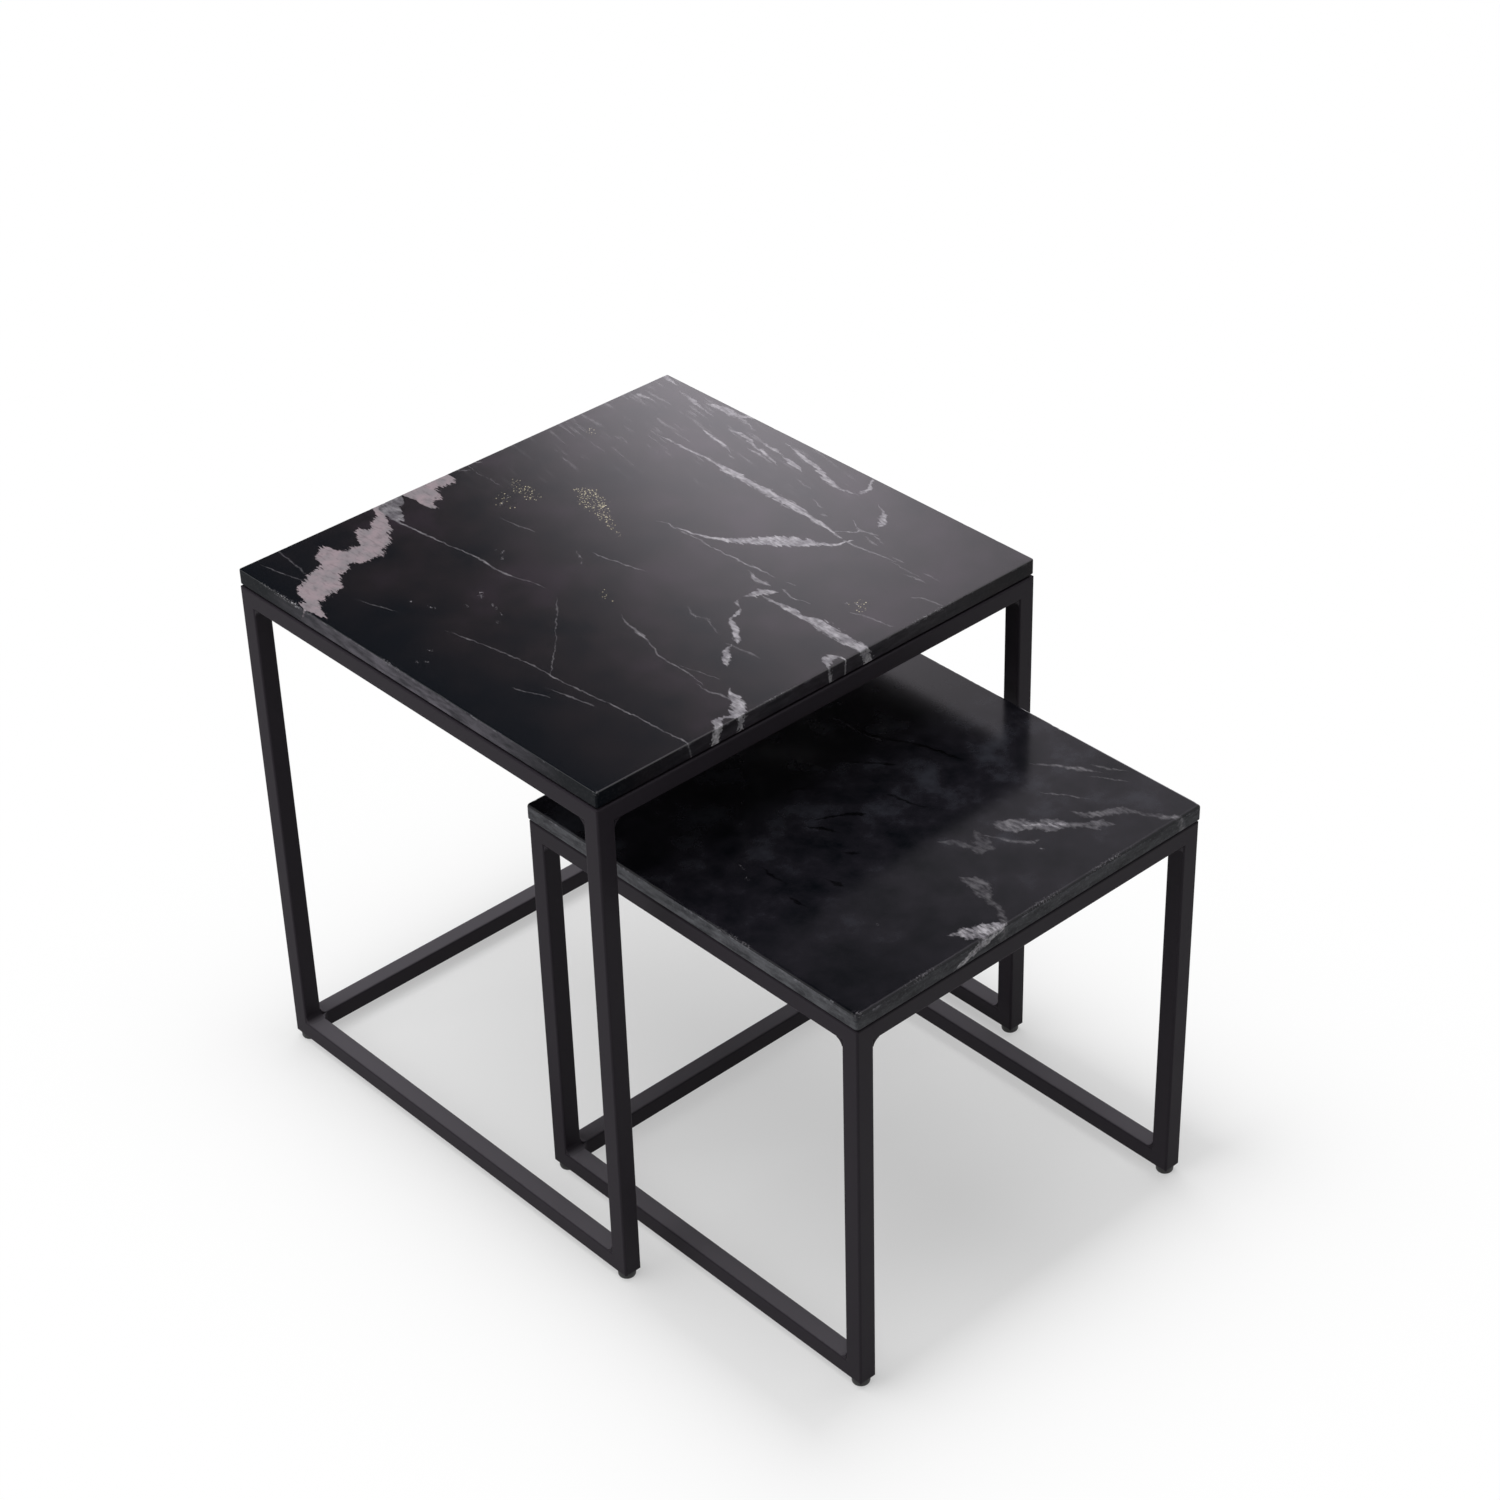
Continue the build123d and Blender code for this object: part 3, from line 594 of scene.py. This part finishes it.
def edge_colour(tree, place, table, width, colour):
    """The sawn and honed edge of the stone: faint pale streaks along it, brightened as a painted sheen on
    the left and away from the corners, held back as painted shade along the lower edge, flecked, and crushed
    here and there at the arris."""
    look = SLABS[table]
    left_sheen, other_sheen, corner_sheen = look["pale"]
    arris = look["arris"]
    across, _, depth = add(tree, "SeparateXYZ", {0: place})
    # Painted sheen: the pale streaks are brightened on the left edge, which gets more light, and towards the
    # middle of each edge, as a reflection would be.
    left = add(tree, "MapRange", {
        "Value": across, "From Min": -width / 2, "From Max": LEFT_SHEEN_WIDTH - width / 2,
        "To Min": left_sheen, "To Max": other_sheen,
    })[0]
    reach = add(tree, "VectorMath", {0: place}, operation="LENGTH")["Value"]
    side_end, corner_start = CORNER_REACH
    corner = add(tree, "MapRange", {
        "Value": reach, "From Min": side_end * width, "From Max": corner_start * width,
        "To Min": 1.0, "To Max": corner_sheen,
    })[0]
    # Painted shade: the lowest millimetre keeps the dark ground, where the gap over the frame lies in shade.
    above_gap_shade = add(tree, "MapRange", {
        "Value": depth, "From Min": -SLAB_HEIGHT, "From Max": GAP_SHADE_HEIGHT - SLAB_HEIGHT,
    })[0]
    streaks = patches(tree, place, EDGE_STREAK, 0.36, 0.62)
    streaks = add(tree, "MapRange", {"Value": streaks, "To Min": 0.25})[0]
    painted_sheen = share(tree, share(tree, left, corner), share(tree, streaks, above_gap_shade))
    colour = blend(tree, painted_sheen, colour, linear(look["sheen_colour"]), "LIGHTEN")
    flecks = share(tree, patches(tree, place, EDGE_FLECK, 0.5, 0.75), look["flecks"])
    colour = blend(tree, flecks, colour, linear(FLECK_COLOUR), "LIGHTEN")
    crush_end, crush_full = CRUSHED
    crushed = add(tree, "MapRange", {
        "Value": depth, "From Min": crush_end * arris, "From Max": crush_full * arris,
    })[0]
    chips = patches(tree, place, EDGE_CHIP, 0.56, 0.7)
    return blend(tree, share(tree, crushed, chips), colour, linear(CRUSHED_COLOUR), "LIGHTEN")


def black_marble(table, finish):
    """Black marble. The top is polished to a clear reflection, the sawn edges are honed to a dull sheen."""
    material = bpy.data.materials.new(f"{table}_{finish}_black_marble")
    tree = node_tree(material)
    low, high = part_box(f"{table}_marble_top")
    middle = ((low.x + high.x) / 2, (low.y + high.y) / 2, high.z)
    place = add(tree, "TexCoord", {})["Object"]
    place = add(tree, "Mapping", {
        "Vector": place, "Location": middle, "Scale": (MM,) * 3,
    }, vector_type="TEXTURE")[0]
    width = (high.x - low.x) / MM
    colour = stone_colour(tree, place, table, finish, width)
    if finish == "polished":
        shader = add(tree, "BsdfPrincipled", {
            "Base Color": colour, "Roughness": 0.15, "Specular IOR Level": SLABS[table]["gloss"],
        })[0]
    else:
        shader = add(tree, "BsdfPrincipled", {
            "Base Color": edge_colour(tree, place, table, width, colour), "Roughness": 0.45,
            "Specular IOR Level": 0.06,
        })[0]
    add(tree, "OutputMaterial", {"Surface": shader})
    return material


# Powder coat, nylon and silicone

TONE_SIZE = 40 * MM       # clouds in the coat's black
PEEL_SIZE = 1.6 * MM      # orange peel of the coat
DUST_AND_SHEEN_HEIGHT = 50 * MM     # height up to which dust settles and a sheen of the light from above is painted on upward faces
GRAIN_SIZE = 0.8 * MM     # moulding grain of the glides
SMOKE_SIZE = 3 * MM       # clouds in the pads
BUMP_DEPTH = 0.05 * MM


def powder_coat():
    """Baked polyester powder on steel: matt warm black with a fine orange peel that breaks up the
    highlights, and a little paler on the upward faces of the floor rails, for settled dust and for a painted
    sheen of the light from above."""
    material = bpy.data.materials.new("black_powder_coat")
    tree = node_tree(material)
    place = add(tree, "TexCoord", {})["Object"]
    cloud = add(tree, "TexNoise", {
        "Vector": place, "Scale": 1 / TONE_SIZE, "Detail": 5.0, "Roughness": 0.6,
    })[0]
    colour = blend(tree, cloud, linear("211d22"), linear("29252b"))
    # Dust and painted sheen: faces that look up, low down on the floor rails, are made paler, for settled
    # dust and for the sheen of the light from above.
    upward = add(tree, "SeparateXYZ", {0: add(tree, "NewGeometry", {})["Normal"]})[2]
    dust_and_sheen = add(tree, "MapRange", {"Value": upward, "From Min": 0.6, "From Max": 1.0, "To Max": 0.85})[0]
    height = add(tree, "SeparateXYZ", {0: place})[2]
    low_down = add(tree, "Math", {0: height, 1: DUST_AND_SHEEN_HEIGHT}, operation="LESS_THAN")[0]
    colour = blend(tree, share(tree, dust_and_sheen, low_down), colour, linear("5a575c"))
    rough = add(tree, "MapRange", {"Value": cloud, "To Min": 0.5, "To Max": 0.65})[0]
    peel = add(tree, "TexNoise", {"Vector": place, "Scale": 1 / PEEL_SIZE, "Detail": 2.0})[0]
    bump = add(tree, "Bump", {"Height": peel, "Strength": 0.25, "Distance": BUMP_DEPTH})[0]
    shader = add(tree, "BsdfPrincipled", {
        "Base Color": colour, "Roughness": rough, "Specular IOR Level": 0.1, "Normal": bump,
    })[0]
    add(tree, "OutputMaterial", {"Surface": shader})
    return material


def black_nylon():
    """Moulded nylon of the glides: soft black with a faint moulding grain."""
    material = bpy.data.materials.new("moulded_black_nylon")
    tree = node_tree(material)
    place = add(tree, "TexCoord", {})["Object"]
    grain = add(tree, "TexNoise", {"Vector": place, "Scale": 1 / GRAIN_SIZE, "Detail": 3.0})[0]
    colour = blend(tree, grain, linear("0d0d0e"), linear("171718"))
    bump = add(tree, "Bump", {"Height": grain, "Strength": 0.3, "Distance": BUMP_DEPTH})[0]
    shader = add(tree, "BsdfPrincipled", {
        "Base Color": colour, "Roughness": 0.5, "IOR": 1.53, "Normal": bump,
    })[0]
    add(tree, "OutputMaterial", {"Surface": shader})
    return material


def silicone():
    """Moulded silicone of the pads under the slabs: smoky and soft in its shine."""
    material = bpy.data.materials.new("moulded_smoky_silicone")
    tree = node_tree(material)
    place = add(tree, "TexCoord", {})["Object"]
    cloud = add(tree, "TexNoise", {"Vector": place, "Scale": 1 / SMOKE_SIZE, "Detail": 3.0})[0]
    colour = blend(tree, cloud, linear("18181a"), linear("262628"))
    shader = add(tree, "BsdfPrincipled", {"Base Color": colour, "Roughness": 0.4, "IOR": 1.41})[0]
    add(tree, "OutputMaterial", {"Surface": shader})
    return material


# Modelling

def pick_edges(piece, wanted):
    """Selects the edges of the piece in edit mode whose two ends pass wanted."""
    bpy.ops.mesh.select_mode(type="EDGE")
    bpy.ops.mesh.select_all(action="DESELECT")
    shape = bmesh.from_edit_mesh(piece.data)
    for edge in shape.edges:
        edge.select_set(wanted(edge.verts[0].co, edge.verts[1].co))
    bmesh.update_edit_mesh(piece.data)


def pick_faces(piece, wanted):
    """Selects the faces of the piece in edit mode that pass wanted."""
    bpy.ops.mesh.select_mode(type="FACE")
    bpy.ops.mesh.select_all(action="DESELECT")
    shape = bmesh.from_edit_mesh(piece.data)
    for face in shape.faces:
        face.select_set(wanted(face))
    bmesh.update_edit_mesh(piece.data)


def joined_copies(one, places, name):
    """Copies of a piece at several places, joined into one piece with a name."""
    copies = []
    for place in places:
        bpy.ops.object.select_all(action="DESELECT")
        one.select_set(True)
        bpy.context.view_layer.objects.active = one
        bpy.ops.object.duplicate()
        bpy.context.object.location = place
        copies.append(bpy.context.object)
    for copy in copies:
        copy.select_set(True)
    bpy.ops.object.join()
    bpy.ops.object.transform_apply(location=True, rotation=True, scale=True)
    bpy.context.object.name = name
    return bpy.context.object


HAIR = 0.01 * MM
SLACK = 0.01          # tolerance of a direction or a share
SMOOTH_ANGLE = math.radians(35)
LOWER_ARRIS = 0.8 * MM
ARRIS_CUTS = 100
CHIP_SPACING = 14.0 * MM
CHIP_GRAIN = 0.4      # share of fine roughness in the chips
CHIP_LEAST = 0.3      # how rough the arris has to be to chip


def marble_slab(table):
    """Slab of one table: a sawn block with eased corners, a chipped top arris and a chamfer below."""
    low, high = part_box(f"{table}_marble_top")
    corner, arris, chip = (SLABS[table][size] * MM for size in ("corner", "arris", "chip"))
    bpy.ops.object.select_all(action="DESELECT")
    bpy.ops.mesh.primitive_cube_add(size=1, location=(low + high) / 2)
    slab = bpy.context.object
    slab.name = f"{table}_marble_slab"
    slab.scale = high - low
    bpy.ops.object.transform_apply(location=True, rotation=True, scale=True)
    bpy.ops.object.mode_set(mode="EDIT")
    pick_edges(slab, lambda a, b: abs(a.z - b.z) > HAIR)
    bpy.ops.mesh.bevel(offset=corner, segments=6, affect="EDGES")
    pick_edges(slab, lambda a, b: min(a.z, b.z) > high.z - HAIR and (a - b).length > 2 * corner)
    bpy.ops.mesh.subdivide(number_cuts=ARRIS_CUTS)
    bpy.ops.mesh.subdivide(number_cuts=1)
    pick_edges(slab, lambda a, b: min(a.z, b.z) > high.z - HAIR)
    bpy.ops.mesh.bevel(offset=arris, segments=4, affect="EDGES")
    pick_edges(slab, lambda a, b: max(a.z, b.z) < low.z + HAIR)
    bpy.ops.mesh.bevel(offset=LOWER_ARRIS, segments=2, affect="EDGES")
    pick_faces(slab, lambda face: len(face.verts) > 4 and abs(face.normal.z) > 1 - SLACK)
    bpy.ops.mesh.poke()
    bpy.ops.object.mode_set(mode="OBJECT")

    for vertex in slab.data.vertices:
        depth = (high.z - vertex.co.z) / arris
        if depth > 1 + SLACK or abs(vertex.normal.z) > 1 - SLACK and depth > SLACK:
            continue
        rough = noise.noise(vertex.co / CHIP_SPACING * 3) + CHIP_GRAIN * noise.noise(vertex.co / MM)
        chipped = chip * max(0.0, rough - CHIP_LEAST)
        inward = Vector((vertex.normal.x, vertex.normal.y, 0)).normalized()
        vertex.co -= inward * chipped * max(0.0, 1 - depth)
        vertex.co.z -= chipped * min(1.0, depth)

    polished, honed = marbles[table]
    slab.data.materials.append(polished)
    slab.data.materials.append(honed)
    for face in slab.data.polygons:
        face.material_index = 0 if face.normal.z > 0.5 else 1
        face.use_smooth = True
    flat = slab.modifiers.new("flat_faces", "WEIGHTED_NORMAL")
    flat.weight = 100
    bpy.ops.object.modifier_apply(modifier=flat.name)
    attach(slab, f"{table}_table")
    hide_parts(f"{table}_marble_top")


TUBE_RADIUS = 2.0 * MM
RAILS = ("front_top_rail", "back_top_rail", "back_floor_rail")


def weld_collar(rail):
    """The dressed weld at a rail's left end: it carries the tube's outline on into the leg's rounding."""
    low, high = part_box(rail)
    bpy.ops.object.select_all(action="DESELECT")
    middle = (low + high) / 2
    bpy.ops.mesh.primitive_cube_add(size=1, location=(low.x - TUBE_RADIUS / 2, middle.y, middle.z))
    collar = bpy.context.object
    collar.scale = (TUBE_RADIUS, high.y - low.y, high.z - low.z)
    bpy.ops.object.transform_apply(location=True, rotation=True, scale=True)
    bpy.ops.object.mode_set(mode="EDIT")
    pick_edges(collar, lambda a, b: abs(a.x - b.x) > HAIR)
    bpy.ops.mesh.bevel(offset=TUBE_RADIUS, segments=6, affect="EDGES")
    bpy.ops.object.mode_set(mode="OBJECT")
    bpy.ops.object.shade_smooth_by_angle(angle=SMOOTH_ANGLE)
    collar.data.materials.append(coat)
    return collar


def collar_set(table):
    """The dressed welds at both ends of every cross rail of one table, as one piece."""
    one = weld_collar(f"{table}_front_top_rail")
    first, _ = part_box(f"{table}_front_top_rail")
    places = []
    for name in RAILS:
        low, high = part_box(f"{table}_{name}")
        places += [Vector((x, low.y, low.z)) - first for x in (low.x, high.x + TUBE_RADIUS)]
    welds = joined_copies(one, places, f"{table}_dressed_welds")
    bpy.data.objects.remove(one)
    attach(welds, f"{table}_table")


GLIDE_RADIUS = 8.0 * MM
GLIDE_HEIGHT = 7.0 * MM
GLIDE_EDGE = 2.6 * MM
GLIDE_RIM = 0.4 * MM
STEM_RADIUS = 4.0 * MM


def glide():
    """One push-in glide on the floor at the origin: a turned foot with a rounded tread and its stem."""
    low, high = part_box("large_glides")
    bpy.ops.object.select_all(action="DESELECT")
    bpy.ops.mesh.primitive_cylinder_add(
        vertices=48, radius=GLIDE_RADIUS, depth=GLIDE_HEIGHT, location=(0, 0, GLIDE_HEIGHT / 2))
    foot = bpy.context.object
    bpy.ops.object.transform_apply(location=True, rotation=True, scale=True)
    bpy.ops.object.mode_set(mode="EDIT")
    pick_edges(foot, lambda a, b: max(a.z, b.z) < HAIR)
    bpy.ops.mesh.bevel(offset=GLIDE_EDGE, segments=5, affect="EDGES")
    pick_edges(foot, lambda a, b: min(a.z, b.z) > GLIDE_HEIGHT - HAIR)
    bpy.ops.mesh.bevel(offset=GLIDE_RIM, segments=2, affect="EDGES")
    pick_faces(foot, lambda face: face.calc_center_median().z > GLIDE_HEIGHT - HAIR and len(face.verts) > 4)
    bpy.ops.mesh.inset(thickness=GLIDE_RADIUS - GLIDE_RIM - STEM_RADIUS)
    stem = high.z - low.z - GLIDE_HEIGHT
    bpy.ops.mesh.extrude_region_move(TRANSFORM_OT_translate={"value": (0, 0, stem)})
    bpy.ops.object.mode_set(mode="OBJECT")
    bpy.ops.object.shade_smooth_by_angle(angle=SMOOTH_ANGLE)
    foot.data.materials.append(nylon)
    return foot


def glide_set(foot, table):
    """Copies of the foot under the four corners of one table, as one piece."""
    low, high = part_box(f"{table}_glides")
    corners = [
        (x, y, low.z)
        for x in (low.x + GLIDE_RADIUS, high.x - GLIDE_RADIUS)
        for y in (low.y + GLIDE_RADIUS, high.y - GLIDE_RADIUS)
    ]
    glides = joined_copies(foot, corners, f"{table}_turned_glides")
    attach(glides, f"{table}_table")
    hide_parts(f"{table}_glides")


# The materials and the pieces

marbles = {table: [black_marble(table, finish) for finish in CALCITE] for table in TABLES}
coat = powder_coat()
nylon = black_nylon()
pad_silicone = silicone()
for name, node in nodes.items():
    table = name.split("_")[0]
    node.data.materials.clear()
    if name.endswith("_marble_top"):
        node.data.materials.append(marbles[table][0])
    elif name.endswith("_glides"):
        node.data.materials.append(nylon)
    elif name.endswith("_top_pads"):
        node.data.materials.append(pad_silicone)
    else:
        node.data.materials.append(coat)
one_glide = glide()
for table in TABLES:
    marble_slab(table)
    collar_set(table)
    glide_set(one_glide, table)
bpy.data.objects.remove(one_glide)
